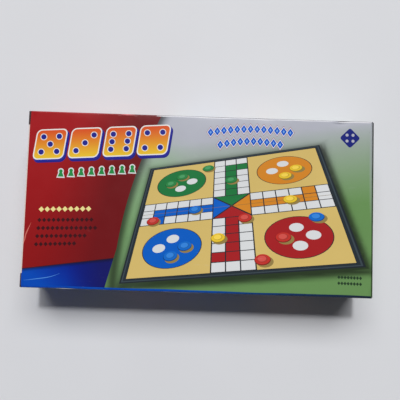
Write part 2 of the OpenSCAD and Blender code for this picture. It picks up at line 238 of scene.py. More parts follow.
def waves(x, seed):
    """Gentle waves from about -1 to 1: three sines of unlike length, each shifted by seed."""
    long, short, slow = x / 17 + seed, x / 7.3 + 2.1 * seed, x / 31 + 3.7 * seed
    return (np.sin(long) + 0.7 * np.sin(short) + 0.5 * np.sin(slow)) / 2.2


def settle(points):
    """How a handled sleeve has settled: points in millimetres, moved.

    The top sags by a fraction of a millimetre between its creases, the long sides bow in, and
    each crease line is pressed in by waves and by a few dents, fading over some millimetres.
    """
    x, y, z = np.moveaxis(points, -1, 0)
    across = np.clip(1 - (y / HALF_W) ** 2, 0, 1) ** 2
    along = np.clip(1 - (x / 118) ** 2, 0, 1)
    sag = 0.45 * across * along * (1 + 0.5 * np.sin(x / 34 + 0.6) * np.cos(y / 23))
    up = np.clip(1 - ((z - TOP / 2) / (TOP / 2)) ** 2, 0, 1)
    bow = np.where(y > 0, 0.25, 0.15) * up * along * (1 + 0.3 * np.sin(x / 29 + y))
    moved = points.copy()
    moved[..., 2] -= np.where(z > TOP - 3, sag, 0)
    moved[..., 1] -= np.sign(y) * np.where(np.abs(y) > HALF_W - 3, bow, 0)
    dented = ((1, 0.4, ((106, 0.5, 5), (48, 0.22, 8))), (-1, 1.9, ((-96, 0.3, 7),)))
    for side, seed, dents in dented:
        away = np.hypot(np.clip(HALF_W - side * y, 0, None), np.clip(TOP - z, 0, None))
        press = 0.12 * (1 + waves(x, seed)) * np.clip(1 - (x / 127) ** 6, 0, 1)
        for at, depth, width in dents:
            press = press + depth * np.exp(-(((x - at) / width) ** 2))
        press = press * np.exp(-((away / 3.2) ** 2))
        moved[..., 1] -= side * 0.7 * press
        moved[..., 2] -= 0.7 * press
    return moved


class Sheets:
    """Gathers flat faces, their printed colours and their material numbers into one mesh."""

    def __init__(self):
        self.points, self.faces, self.inks, self.slots, self.count = [], [], [], [], 0

    def add(self, points, faces, inks, slot):
        """Points (n, 3), faces (m, 3 or 4) of their numbers, inks for each corner of each face."""
        self.points.append(points)
        self.faces.append(faces + self.count)
        self.inks.append(np.broadcast_to(inks, (*faces.shape, 3)))
        self.slots.append(np.full(len(faces), slot))
        self.count += len(points)

    def grid(self, points, inks, slot):
        """A surface given as rows of points (m, n, 3), facing along row step x column step."""
        m, n = points.shape[:2]
        k = np.arange(m * n).reshape(m, n)
        cells = np.stack([k[:-1, :-1], k[1:, :-1], k[1:, 1:], k[:-1, 1:]], -1).reshape(-1, 4)
        inks = np.broadcast_to(inks, (m, n, 3)).reshape(-1, 3)
        self.add(points.reshape(-1, 3), cells, inks[cells], slot)

    def piece(self, name, body, materials, replaced):
        """Makes the mesh, which rides on body and replaces one CAD node.

        Points that coincide to half a micron become one. Cells that close up go, and points
        that no cell has.
        """
        points = np.concatenate(self.points)
        _, first, same = np.unique(
            np.round(points * 2000).astype(np.int64), axis=0, return_index=True, return_inverse=True
        )
        same = same.reshape(-1)
        groups = []
        for cells, ink, slot in zip(self.faces, self.inks, self.slots):
            cells = same[cells]
            corners = cells.shape[1]
            closed = np.stack([cells[:, k] == cells[:, (k + 1) % corners] for k in range(corners)])
            kept = closed.sum(0) == 0
            groups.append((cells[kept], ink[kept], slot[kept]))
            for k in range(corners if corners == 4 else 0):
                part = closed[k] & (closed.sum(0) == 1)
                groups.append(
                    (np.delete(cells[part], k, 1), np.delete(ink[part], k, 1), slot[part])
                )
        used = np.unique(np.concatenate([cells.ravel() for cells, _, _ in groups]))
        faces = [face for cells, _, _ in groups for face in np.searchsorted(used, cells).tolist()]
        inks = [ink.reshape(-1, 3) for _, ink, _ in groups]
        slots = [slot for _, _, slot in groups]
        mesh = bpy.data.meshes.new(name)
        mesh.from_pydata((points[first][used] * MM).tolist(), [], faces)
        mesh.polygons.foreach_set("material_index", np.concatenate(slots).astype(np.int32))
        mesh.polygons.foreach_set("use_smooth", np.ones(len(faces), bool))
        colour = light_of(np.concatenate(inks))
        attribute = mesh.color_attributes.new("ink", "FLOAT_COLOR", "CORNER")
        attribute.data.foreach_set("color", np.c_[colour, np.ones(len(colour))].ravel())
        mesh.set_sharp_from_angle(angle=math.radians(32))
        for material in materials:
            mesh.materials.append(material)
        made = bpy.data.objects.new(name, mesh)
        scene.collection.objects.link(made)
        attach(made, body)
        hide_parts(replaced)


def holds(loop, points):
    """Whether each point is inside a closed outline: a line to its right crosses it oddly often."""
    inside = np.zeros(len(points), bool)
    near = np.all((points > loop.min(0)) & (points < loop.max(0)), 1)
    x, y = points[near, 0, None], points[near, 1, None]
    (ax, ay), (bx, by) = loop.T, np.roll(loop, -1, 0).T
    crosses = (ay > y) != (by > y)
    at = ax + (y - ay) * (bx - ax) / np.where(by == ay, 1, by - ay)
    inside[near] = (crosses & (x < at)).sum(1) % 2 == 1
    return inside


def board(sheets, outline, rows, art, place, thick=CARD, rim_slot=1):
    """Adds a printed board to sheets: its printed face, its bare back and its cut edges.

    outline (n, 2) is its shape laid flat and rows are arrays of further points inside it. art
    is a list of (outline, ink), each printed over the ones before, where ink is a colour or a
    function of x and y. place(flat points, depth) is where a point of the board ends up. The
    printed face is the flat shape divided along every printed outline, each triangle takes the
    ink of the last outline that holds it, and the back repeats it one thickness lower. The cut
    edges have the material numbered rim_slot.
    """
    loops = [outline, *(shape for shape, _ in art)]
    numbers, start = [], 0
    for loop in loops:
        numbers.append(list(range(start, start + len(loop))))
        start += len(loop)
    flat = np.concatenate([*loops, *rows])
    found = delaunay_2d_cdt([tuple(p) for p in flat], [], numbers, 1, 1e-5, False)
    flat, cells = np.array([tuple(p) for p in found[0]]), np.array(found[2])
    cells = cells[holds(loops[0], flat[cells].mean(1))]
    corner = flat[cells]
    top = np.zeros(len(cells), int)
    for k, loop in enumerate(loops[1:], 1):
        top[holds(loop, corner.mean(1))] = k
    inks = np.empty((*cells.shape, 3))
    for k in np.unique(top):
        ink = art[k - 1][1] if k else WHITE
        rows_of = top == k
        xy = corner[rows_of]
        inks[rows_of] = ink(xy[..., 0], xy[..., 1]) if callable(ink) else ink
    face, back = place(flat, 0.0), place(flat, thick)
    sheets.add(face, cells, inks, 0)
    sheets.add(back, cells[:, ::-1], WHITE, 1)
    edges = np.concatenate([cells[:, [0, 1]], cells[:, [1, 2]], cells[:, [2, 0]]])
    _, number, count = np.unique(np.sort(edges, 1), axis=0, return_index=True, return_counts=True)
    rim = edges[number[count == 1]]
    walls = np.stack([rim[:, 1], rim[:, 0], rim[:, 0] + len(flat), rim[:, 1] + len(flat)], 1)
    sheets.add(np.concatenate([face, back]), walls, WHITE, rim_slot)


def rod(sheets, start, end, radius, inks):
    """Adds a closed bead of 24 sides from start to end. inks gives its colours at its points."""
    start, end = np.array([start, end], float)
    axis = (end - start) / np.linalg.norm(end - start)
    side = np.cross(axis, (0, 0, 1) if abs(axis[2]) < 0.9 else (1, 0, 0))
    side /= np.linalg.norm(side)
    up = np.cross(side, axis)
    turn = np.linspace(0, 2 * np.pi, 25) + np.pi / 24
    ring = radius * (np.cos(turn)[:, None] * side + np.sin(turn)[:, None] * up)
    along = np.linspace(0, 1, 41)[:, None, None]
    body = (1 - along) * (start + ring) + along * (end + ring)
    caps = [np.broadcast_to(point, (1, 25, 3)) for point in (start, end)]
    body = np.concatenate([caps[0], body, caps[1]])[::-1]
    sheets.grid(body, inks(body), 0)


def square_edge(n):
    """Points round the unit square, n on each side, turning left from its lower left corner."""
    t = np.linspace(0, 1, n + 1)[:-1]
    low, high = np.zeros(n), np.ones(n)
    sides = ((t, low), (high, t), (1 - t, high), (low, 1 - t))
    return np.concatenate([np.stack(side, 1) for side in sides])


def grown(points, share):
    """Points of the unit square drawn away from its middle by that share of its width."""
    return (points - 0.5) * (1 + share) + 0.5


def ring_of(cx, cy, r, n=28):
    """Points round a circle."""
    turn = np.linspace(0, 2 * np.pi, n, endpoint=False)
    return np.stack([cx + r * np.cos(turn), cy + r * np.sin(turn)], 1)


def box_of(x0, y0, x1, y1):
    """The corners of an upright rectangle."""
    return np.array([(x0, y0), (x1, y0), (x1, y1), (x0, y1)], float)


def soft_box(cx, cy, w, h, r, lean=0.0, turn=0.0):
    """A rectangle with round corners, leaning by lean per unit of height and turned by degrees."""
    quarter = np.linspace(0, np.pi / 2, 7)
    corners = []
    for k, (sx, sy) in enumerate(((1, 1), (-1, 1), (-1, -1), (1, -1))):
        a = quarter + k * np.pi / 2
        x, y = sx * (w / 2 - r) + r * np.cos(a), sy * (h / 2 - r) + r * np.sin(a)
        corners.append(np.stack([x, y], 1))
    p = np.concatenate(corners)
    p[:, 0] += lean * p[:, 1]
    c, s = math.cos(math.radians(turn)), math.sin(math.radians(turn))
    return np.stack([cx + c * p[:, 0] - s * p[:, 1], cy + s * p[:, 0] + c * p[:, 1]], 1)


def lattice(x0, x1, y0, y1, step):
    """Points of a square net with about step between them, kept off the border."""
    x = np.linspace(x0, x1, int((x1 - x0) / step) + 1)[1:-1]
    y = np.linspace(y0, y1, int((y1 - y0) / step) + 1)[1:-1]
    return np.stack(np.meshgrid(x, y, indexing="ij"), -1).reshape(-1, 2)


def ludo_board(place, bottom=0.0, top=1.0):
    """The common four-arm race board, as printed outlines in a unit square sent through place.

    Fifteen cells a side: a three-wide arm to each edge, a round yard with four places in each
    corner and four triangles in the middle. Only what lies between bottom and top is kept.
    """
    cell = 1 / 15
    art = []

    def put(points, ink):
        """Adds an outline, cut off at bottom and top."""
        points = np.array(points, float)
        points[:, 1] = np.clip(points[:, 1], bottom, top)
        if np.ptp(points[:, 1]) > 1e-6:
            art.append((place(points), ink))

    put(square_edge(8), FACE)
    yards = ((0.2, 0.8), (0.8, 0.8), (0.8, 0.2), (0.2, 0.2))
    for (cx, cy), ink in zip(yards, YARDS):
        put(ring_of(cx, cy, 0.152, 40), LINE)
        put(ring_of(cx, cy, 0.148, 40), ink)
        for dx, dy in ((-1, 0), (1, 0), (0, 1), (0, -1)):
            put(ring_of(cx + 0.066 * dx, cy + 0.066 * dy, 0.033, 20), WHITE)
    middle = np.array([0.5, 0.5])
    inset = 0.0028 / cell
    for (dx, dy), ink in zip(((0, 1), (1, 0), (0, -1), (-1, 0)), YARDS):
        across = np.array([dy, dx], float)
        out = np.array([dx, dy], float)

        def block(a0, a1, b0, b1):
            """A rectangle, in cells across the arm and out from the middle."""
            corners = ((a0, b0), (a1, b0), (a1, b1), (a0, b1))
            return np.array([middle + a * cell * across + b * cell * out for a, b in corners])

        put(block(-1.55, 1.55, 1.5, 7.5), LINE)
        for row in range(6):
            for column in (-1, 0, 1):
                home = column == 0 and row < 5 or column == 1 and row == 4
                a, b = column - 0.5 + inset, 1.5 + row + inset
                size = 1 - 2 * inset
                put(block(a, a + size, b, b + size), ink if home else WHITE)
        put([middle, *block(-1.5, 1.5, 1.5, 1.5)[:2]], LINE)
        put([middle + 0.006 * out, *block(-1.36, 1.36, 1.46, 1.46)[:2]], ink)
    return art


def counters(places, size, shape):
    """Round playing pieces lying on a pictured board: shadow, rim, body and domed top."""
    art = []
    for x, y, ink in places:
        ink = np.array(ink, float)
        art += [
            (shape(ring_of(x + 0.010, y - 0.014, size * 1.02, 22)), (150, 128, 74)),
            (shape(ring_of(x, y, size, 22)), ink * 0.62),
            (shape(ring_of(x, y + 0.004, size * 0.93, 22)), ink),
            (shape(ring_of(x, y + 0.006, size * 0.62, 20)), ink * 0.78 + 16),
            (shape(ring_of(x - 0.002, y + 0.008, size * 0.52, 20)), ink * 0.9 + 38),
        ]
    return art


def seen_from(corners):
    """A plane view of the unit square, sent to four corners, lower left first, turning left."""
    rows, right = [], []
    for (u, v), (x, y) in zip(((0, 0), (1, 0), (1, 1), (0, 1)), corners):
        rows += [[u, v, 1, 0, 0, 0, -u * x, -v * x], [0, 0, 0, u, v, 1, -u * y, -v * y]]
        right += [x, y]
    h = np.append(np.linalg.solve(np.array(rows, float), np.array(right, float)), 1).reshape(3, 3)

    def view(points):
        """The plane's place for each point, divided by its depth."""
        p = np.c_[points, np.ones(len(points))] @ h.T
        return p[:, :2] / p[:, 2:]

    return view


def red_side(y):
    """Where the red field ends on the right, as a bent line across the panel."""
    t = (HALF_W - y) / (2 * HALF_W)
    return -30 - 62 * t + 30 * t * t


def blue_top(x):
    """Where the blue foot of the red field ends above: a line that rises slightly to the right."""
    return -52.5 + 0.145 * (x + RAW_END)


PICTURE = ((-57, -61), (125, -43), (89, 47), (-37, 25))
pictured = seen_from(PICTURE)


def gap_to_picture(x, y):
    """Millimetres from a point to the pictured board's outline, 0 inside it."""
    p = np.stack([x, y], -1)
    away = np.full(x.shape, -1e9)
    corners = np.array(PICTURE, float)
    for a, b in zip(corners, np.roll(corners, -1, 0)):
        along = (b - a) / np.linalg.norm(b - a)
        away = np.maximum(away, (p - a) @ np.array([along[1], -along[0]]))
    return np.clip(away, 0, None)


def ground_ink(x, y):
    """The pale ground: grey above, green below and to the right, light beside the red field.

    Soft bands along the red field and round the pictured board darken it, each as a bell curve.
    """
    down = np.clip((52 - y) / 60 + (x - 40) / 400, 0, 1)
    ink = blend(SKY, LEAF, down**0.8)
    beside = np.exp(-(((x - red_side(y) - 14) / 16) ** 2)) * np.clip((50 - y) / 40, 0, 1)
    ink = tinted(ink, GLOW, 0.75 * beside)
    shade = 0.55 * np.exp(-(((x - red_side(y)) / 4.5) ** 2))
    under = 0.62 * np.exp(-((gap_to_picture(x - 1.6, y + 2.4) / 3.2) ** 2))
    return ink * ((1 - shade) * (1 - under))[..., None]


def red_ink(x, y):
    """The red field: darker towards the bottom and its right edge."""
    ink = blend(RED, RED_LOW, (52 - y) / 120)
    edge = np.clip(1 - (red_side(y) - x - 16) / 46, 0, 1) ** 1.3
    return tinted(ink, RED_EDGE, edge)


def blue_ink(x, y):
    """The blue foot: bright at the lower left, navy to the right and dark just under its top."""
    ink = blend(BLUE, DEEP_BLUE, (x + 118) / 42 + (y + 60) / 40)
    ink = tinted(ink, NAVY, np.clip((x + 96) / 26, 0, 1))
    return ink * (1 - 0.45 * np.exp(-(((blue_top(x) - y) / 1.3) ** 2)))[..., None]


def lower_side_ink(x, y):
    """The blue of the lower long side: bright at the left and middle, navy to the right."""
    ink = blend(BLUE, (10, 78, 160), (x + 100) / 140)
    return tinted(ink, (22, 36, 56), np.clip((x - 10) / 110, 0, 1) ** 0.8)


def lozenges(start, end, count, size, ink, bow=0.0, tall=1.0):
    """A row of lozenges from start to end, lifted in the middle by bow: tall is height to width."""
    t = np.linspace(0, 1, count)[:, None]
    middles = start + np.subtract(end, start) * t + 4 * bow * t * (1 - t) * (0, 1)
    shape = size * np.array([(-1, 0), (0, -tall), (1, 0), (0, tall)])
    return [(shape + middle, ink) for middle in middles]


PIPS = {
    1: [(0, 0)], 3: [(-1, -1), (0, 0), (1, 1)], 4: [(-1, -1), (1, -1), (1, 1), (-1, 1)],
    5: [(-1, -1), (1, -1), (1, 1), (-1, 1), (0, 0)],
    6: [(-1, -1), (1, -1), (1, 1), (-1, 1), (-1, 0), (1, 0)],
}


def big_die(cx, cy, w, pips, turn):
    """One leaning die face: navy shadow, white rim, fill from orange above to yellow below."""
    h, lean = w * 0.98, 0.2
    c, s = math.cos(math.radians(turn)), math.sin(math.radians(turn))

    def fill(x, y):
        """Picks the colour by the share of the way up the face."""
        up = (-(x - cx) * s + (y - cy) * c) / h + 0.5
        return blend((236, 198, 52), (218, 80, 34), np.clip(up, 0, 1) ** 1.1)

    rim = (238, 236, 232)
    art = [
        (soft_box(cx + 1.3, cy - 1.9, w + 2.6, h + 2.6, 4.2, lean, turn), (30, 30, 132)),
        (soft_box(cx + 0.6, cy - 1.0, w + 2.4, h + 2.4, 4.2, lean, turn), (38, 40, 152)),
        (soft_box(cx, cy, w + 1.7, h + 1.7, 3.9, lean, turn), rim),
        (soft_box(cx, cy, w, h, 3.2, lean, turn), fill),
    ]
    for px, py in PIPS[pips]:
        dx, dy = px * w * 0.27 + lean * py * h * 0.27, py * h * 0.27
        x, y = cx + c * dx - s * dy, cy + s * dx + c * dy
        art += [(ring_of(x, y, w * 0.118, 24), rim), (ring_of(x, y, w * 0.094, 24), (34, 36, 140))]
    return art


def little_pawn(cx, cy, size, ink):
    """A side view of a pawn: a round head on a spreading foot, with a white rim."""
    art = []
    for grow, colour in ((0.16 * size, WHITE), (0.0, ink)):
        low, wide, neck = -0.5 * size - grow, 0.42 * size + grow, 0.14 * size + grow
        foot = [(-wide, low), (wide, low), (neck, 0.2 * size), (-neck, 0.2 * size)]
        art.append((np.add(foot, (cx, cy)), colour))
        art.append((ring_of(cx, cy + 0.27 * size, 0.25 * size + grow, 20), colour))
    return art


def front_art():
    """What is printed on the front: fields, the pictured board, dice, pawns and lozenges."""
    y = np.linspace(-SPAN, SPAN, 45)
    foot = np.linspace(-RAW_END, float(red_side(blue_top(-61))), 20)
    art = [(box_of(-RAW_END, -SPAN, RAW_END, SPAN), ground_ink)]
    for away in (9.0, 5.0, 2.5, 1.0, 0.0):
        strip = np.stack([red_side(y) + away, y], 1)
        field = np.concatenate([strip, [(-RAW_END, SPAN), (-RAW_END, -SPAN)]])
        art.append((field, ground_ink if away else red_ink))
    low = y[y < blue_top(foot[-1]) - 1]
    for lift in (-0.6, 0.0, 0.9, 2.4, 6.0):
        line = np.stack([foot, blue_top(foot) - lift], 1)[::-1]
        right = np.stack([red_side(low), low], 1)[low < line[0, 1]]
        ink = blue_ink if lift >= 0 else (52, 14, 30)
        art.append((np.concatenate([[(-RAW_END, -SPAN)], right, line]), ink))
    art += lozenges((-117, -8), (-82, -6.5), 9, 2.05, (240, 226, 150))
    for row, count in enumerate((12, 13, 11, 9)):
        start = (-118 - 0.5 * row, -16 - 6.0 * row)
        end = (start[0] + 3.5 * (count - 1), start[1] + 1.5)
        art += lozenges(start, end, count, 1.6, (58, 10, 18), tall=1.05)
    for share, ink in (
        (0.13, ground_ink), (0.07, ground_ink), (0.03, ground_ink),
        (0.0, (30, 38, 44)), (-0.015, (58, 70, 78)), (-0.028, RIM),
    ):
        art.append((pictured(grown(square_edge(12), share)), ink))

    def inner(points):
        """The playing face's unit square, inside the dark rim."""
        return pictured(grown(points, -0.055))

    art += ludo_board(inner)
    art.append((inner(box_of(0, 0.4985, 1, 0.5015)), (120, 102, 62)))
    gold, green, red, blue = (238, 200, 52), (44, 134, 70), (196, 52, 44), (20, 108, 206)
    art += counters([
        (0.2, 0.866, green), (0.134, 0.8, green), (0.36, 0.93, green), (0.5, 0.76, green),
        (0.866, 0.8, gold), (0.8, 0.734, gold), (0.8, 0.5, gold), (0.43, 0.24, gold),
        (0.734, 0.2, red), (0.565, 0.38, red), (0.63, 0.06, red), (0.07, 0.435, red),
        (0.2, 0.134, blue), (0.266, 0.2, blue), (0.3, 0.5, blue), (0.9, 0.33, blue),
    ], 0.036, inner)
    for k, (pips, x) in enumerate(((5, -113), (3, -87), (6, -61), (4, -35.5))):
        art += big_die(x, 41 + 1.9 * k, 21.5, pips, 4)
    for k in range(8):
        art += little_pawn(-104 + 7.6 * k, 19.5 + 0.7 * k, 5.4, (38, 140, 70))
    for high, count in ((54.0, 13), (44.8, 10)):
        ends = (37 - 2.5 * (count - 1), high), (37 + 2.5 * (count - 1), high + 1.5)
        for grow, ink in ((3.2, (150, 44, 48)), (2.9, (226, 230, 238)), (2.3, (10, 84, 196))):
            art += lozenges(*ends, count, grow, ink, 2.6, tall=1.4)
        art += lozenges(*ends, count, 0.8, (120, 170, 232), 2.6, tall=1.6)
    for y in (-51, -55.4):
        art += lozenges((105, y), (121, y - 0.3), 8, 1.15, (34, 58, 36), tall=1.2)
    art.append((soft_box(112, 53, 11, 11, 1.6, 0, 45), (24, 34, 120)))
    art += [(ring_of(112 + 2.25 * px, 53 + 2.25 * py, 1.15, 16), SKY) for px, py in PIPS[4]]
    return art + front_marks()


def streak(line, wide, ink):
    """A mark along a line of points, wide on both sides of it."""
    return np.concatenate([line - wide, (line + wide)[::-1]]), ink


def wear_and_shade_ovals(x, y, reach, ink, step, count):
    """Ovals one in the other about a point, each a step lighter or darker than the last."""
    return [
        (ring_of(0, 0, 1, 26) * np.multiply(reach, 1 - k / count) + (x, y), np.add(ink, step * k))
        for k in range(count)
    ]


def fold_shade_ink(x, y):
    """The ground darkened to painted shade where it turns down into the right lid's fold."""
    return ground_ink(x, y) * 0.55


def front_marks():
    """Marks of making and handling, with painted shade and a painted highlight.

    The side's blue runs over the lower crease, the cut edge is pale with painted shade at its ends
    beyond the slits, and there are scratches at the left, painted shade round a dent, a worn spot,
    painted shade where the ground turns into the right lid's fold, and a pale line along the upper
    crease, partly rubbed and partly a painted highlight, with a thin dark line beside it.
    """
    x = np.linspace(-RAW_END, RAW_END, 120)
    over = np.stack([x, -FLAT_W + 1.0 + 0.25 * waves(x, 2.6)], 1)
    art = [(np.concatenate([over, [(RAW_END, -SPAN), (-RAW_END, -SPAN)]]), lower_side_ink)]
    for at, reach, tall in ((-128.7, 4.8, 13.0), (-128.4, 2.6, 8.0), (-128.9, 1.6, 5.0)):
        t = np.linspace(0, 1, 9)
        line = np.stack([at + reach * t**1.4, -34 + tall * t * 1.15 + (at + 128.9) * 6], 1)
        wide = np.stack([0.28 * np.sin(np.pi * t) + 0.04, -0.1 * np.sin(np.pi * t)], 1)
        art.append(streak(line, -wide, (206, 112, 100)))
    t = np.linspace(0, 1, 17)
    line = np.stack([-127 + 26 * t, -60.5 + 0.5 * np.sin(5 * t) + 6.2 * t * t], 1)
    art.append(streak(line, np.stack([0 * t, 0.05 + 0.22 * np.sin(np.pi * t)], 1), (84, 146, 222)))
    # Painted shade: ovals that grow darker inward round the dent in the upper crease.
    art += wear_and_shade_ovals(104.5, FLAT_W - 0.6, (7.5, 1.7), SKY, -9, 5)
    art += wear_and_shade_ovals(-56, FLAT_W + 0.3, (6.0, 0.55), (158, 52, 56), 26, 4)
    # Painted shade: the ground darkened along the right end where it turns into the fold.
    art.append((box_of(RAW_END - 0.7, -SPAN, RAW_END, SPAN), fold_shade_ink))
    art.append((box_of(-RAW_END, -SLIT_Y, -RAW_END + 0.5, SLIT_Y), PULP))
    # Painted shade: dark ink on the left cut edge beyond the two slits.
    for low, high, wide in ((-SPAN, -SLIT_Y, 0.35), (SLIT_Y, SPAN, 0.7)):
        art.append((box_of(-RAW_END, low, -RAW_END + wide, high), CUT_EDGE_SHADE))
    # A pale line along the upper crease, partly rubbed wear and partly painted highlight, and a
    # thin dark line just past it.
    x = np.linspace(-34, 128, 90)
    line = np.stack([x, np.full_like(x, FLAT_W + 0.1)], 1)
    wide = np.stack([0 * x, np.clip(0.22 + 0.15 * waves(x * 3, 0.3), 0.03, 0.4)], 1)
    art.append(streak(line, wide, (228, 227, 231)))
    art.append(streak(line + (0, 0.72), wide * 1.1, (72, 66, 73)))
    return art


def rolled(across, high):
    """A wide panel and its two creases from their flat shape: (y, z) and the way out (y, z).

    Flat at the top of the carton from -FLAT_W to high, then on each side a quarter turn of
    radius CREASE_R down into the side.
    """
    over = np.clip(across - high, 0, None) - np.clip(-FLAT_W - across, 0, None)
    out_y, out_z = np.sin(over / CREASE_R), np.cos(over / CREASE_R)
    y = np.clip(across, -FLAT_W, high) + CREASE_R * out_y
    return y, TOP - CREASE_R + CREASE_R * out_z, out_y, out_z


def front_place(flat, depth):
    """A point of the front panel laid flat, depth below the print, in its place on the carton."""
    y, z, out_y, out_z = rolled(flat[:, 1], FLAT_W)
    points = settle(np.stack([flat[:, 0], y, z], 1))
    return points - depth * np.stack([0 * y, out_y, out_z], 1)


def wide_outline(high):
    """A wide panel's flat outline, with points on its two ends wherever a crease bends."""
    bends = ROLL * np.linspace(0, 1, 6)
    flat = np.linspace(-FLAT_W, high, 45)[1:-1]
    y = np.concatenate([-FLAT_W - bends[::-1], flat, high + bends])
    end = np.full_like(y, RAW_END)
    return np.concatenate([np.stack([end, y], 1), np.stack([-end, y[::-1]], 1)])


def wide_rows(high, step):
    """Points inside that outline: a net on the flat part and rows along and beside both creases."""
    x = np.linspace(-RAW_END, RAW_END, 87)[1:-1]
    bends = np.array([-2.1, -1.2, -0.4, *ROLL * np.linspace(0, 1, 6)[:-1]])
    rows = [np.stack([x, np.full_like(x, y)], 1) for y in (*(-FLAT_W - bends), *(high + bends))]
    return [lattice(-RAW_END, RAW_END, -FLAT_W, high, step), *rows]


def printed_board():
    """Varnished print on board: the ink, worn to white fibre on the edges, and faint scuffs.

    Millimetres to the carton's nearest crease are the middle one of the three distances to its
    faces. Wear eats in from there where a cloudy noise lets it.
    """
    r = Recipe("printed_board")
    x, y, z = r.split(r.place())
    z = r.math("SUBTRACT", z, TOP / 2 * MM)
    away = []
    for value, half in ((x, WORN_X), (y, HALF_W), (z, TOP / 2)):
        inside = r.math("SUBTRACT", half * MM, r.math("ABSOLUTE", value))
        away.append(r.math("MULTIPLY", inside, 1 / MM))
    low = r.math("MINIMUM", away[0], away[1])
    high = r.math("MAXIMUM", away[0], away[1])
    crease = r.math("MAXIMUM", low, r.math("MINIMUM", high, away[2]))
    rub = r.math("MULTIPLY_ADD", r.noise(1.1, 3), 0.35, r.noise(9, 4))
    reach = r.ramp(rub, 0.76, 1.02, 0.0, 0.8)
    bare = r.ramp(r.math("SUBTRACT", reach, crease), 0.0, 0.4, 0.0, 0.8)
    scratch = r.ramp(r.noise(1.6, 5, (0.16, 1.0, 1.0), 0.6), 0.62, 0.74, 0.0, 0.16)
    faint = r.math("MULTIPLY", r.ramp(r.noise(26, 2), 0.52, 0.75), scratch)
    shade = r.ink(r.ramp(r.noise(55, 2), 0.25, 0.75, 0.965, 1.02))
    colour = r.mix(faint, shade, light_of((206, 204, 206)))
    colour = r.mix(bare, colour, light_of((226, 222, 216)))
    gloss = r.ramp(r.noise(14, 3), 0.2, 0.8, 0.27, 0.36)
    gloss = r.math("ADD", r.math("MULTIPLY_ADD", bare, 0.4, gloss), faint)
    relief = r.bumps(r.noise(22, 2), 0.22, r.bumps(r.noise(0.5, 2), 0.012))
    return r.finish(Base_Color=colour, Roughness=gloss, Normal=relief, Specular_IOR_Level=0.2)


def raw_board():
    """The bare back and the cut edges: fibre from dull to clean, with a few darker flecks."""
    r = Recipe("raw_board")
    fibre = r.noise(0.9, 5, (0.35, 1.0, 1.0), 0.65)
    cloud = r.ramp(r.noise(18), 0.3, 0.7)
    colour = r.mix(cloud, light_of((214, 210, 200)), light_of((224, 221, 213)))
    colour = r.mix(r.ramp(fibre, 0.62, 0.8, 0.0, 0.35), colour, light_of((168, 160, 146)))
    return r.finish(Base_Color=colour, Roughness=0.85, Normal=r.bumps(fibre, 0.03))


def cut_edge():
    """A cut edge that shows outside: bare board, with painted shade dark in the carton's corners.
    """
    r = Recipe("cut_edge")
    _, y, _ = r.split(r.place())
    # Painted shade: the edge goes dark beyond the slits, at the carton's corners.
    corner = r.ramp(r.math("ABSOLUTE", y), (SLIT_Y - 0.6) * MM, (SLIT_Y + 0.6) * MM)
    grain = r.ramp(r.noise(0.9, 5), 0.45, 0.75)
    clean = r.mix(grain, light_of((222, 214, 202)), light_of((196, 186, 172)))
    edge_shade = r.mix(grain, light_of((66, 50, 50)), light_of((40, 32, 36)))
    return r.finish(
        Base_Color=r.mix(corner, clean, edge_shade), Roughness=r.ramp(grain, 0, 1, 0.8, 0.9),
        Normal=r.bumps(grain, 0.03),
    )


PRINT, BARE, CUT = printed_board(), raw_board(), cut_edge()
front = Sheets()
board(front, wide_outline(FLAT_W), wide_rows(FLAT_W, 3), front_art(), front_place, rim_slot=2)


def front_bead_shade_ink(points):
    """The print runs over the bead, darkened to painted shade, and ends on its inner side."""
    outside = (points[..., 0] > LID_X - 0.2) | (points[..., 2] > TOP - CARD + 0.2)
    y = points[..., 1]
    # Painted shade: the ground at 0.3 of its strength where the bead turns away from the light.
    ink = ground_ink(np.full_like(y, LID_X), y) * 0.3
    return np.where(outside[..., None], ink, WHITE)


rod(front, (LID_X, -FLAT_W, TOP - CARD), (LID_X, FLAT_W, TOP - CARD), CARD, front_bead_shade_ink)
front.piece("front_panel_printed", "sleeve", [PRINT, BARE, CUT], "front_panel")

# The back panel.
# The same board, face down on the table. It rolls into the lower long side and, at the left
# end, into the left lid. The upper long side is glued over its other crease.
BACK_HIGH = FLAT_W - CARD
BACK_SPAN = BACK_HIGH + ROLL


def turned(points):
    """Half a turn about the carton's cross axis: the right end becomes the left one."""
    return np.stack([-points[..., 0], points[..., 1], TOP - points[..., 2]], -1)


def back_place(flat, depth):
    """A point of the back panel laid flat, as seen from below, in its place on the carton."""
    y, z, out_y, out_z = rolled(flat[:, 1], BACK_HIGH)
    return turned(np.stack([flat[:, 0], y - depth * out_y, z - depth * out_z], 1))


def back_ink(x, y):
    """The back's ground: grey above, fading to pale green below."""
    return blend((206, 208, 214), (150, 184, 140), (50 - y) / 130)


def blue_ink_of_back(x, y):
    """The blue foot of the back, bright where it meets the lower side's bright end."""
    return lower_side_ink(-x, y)


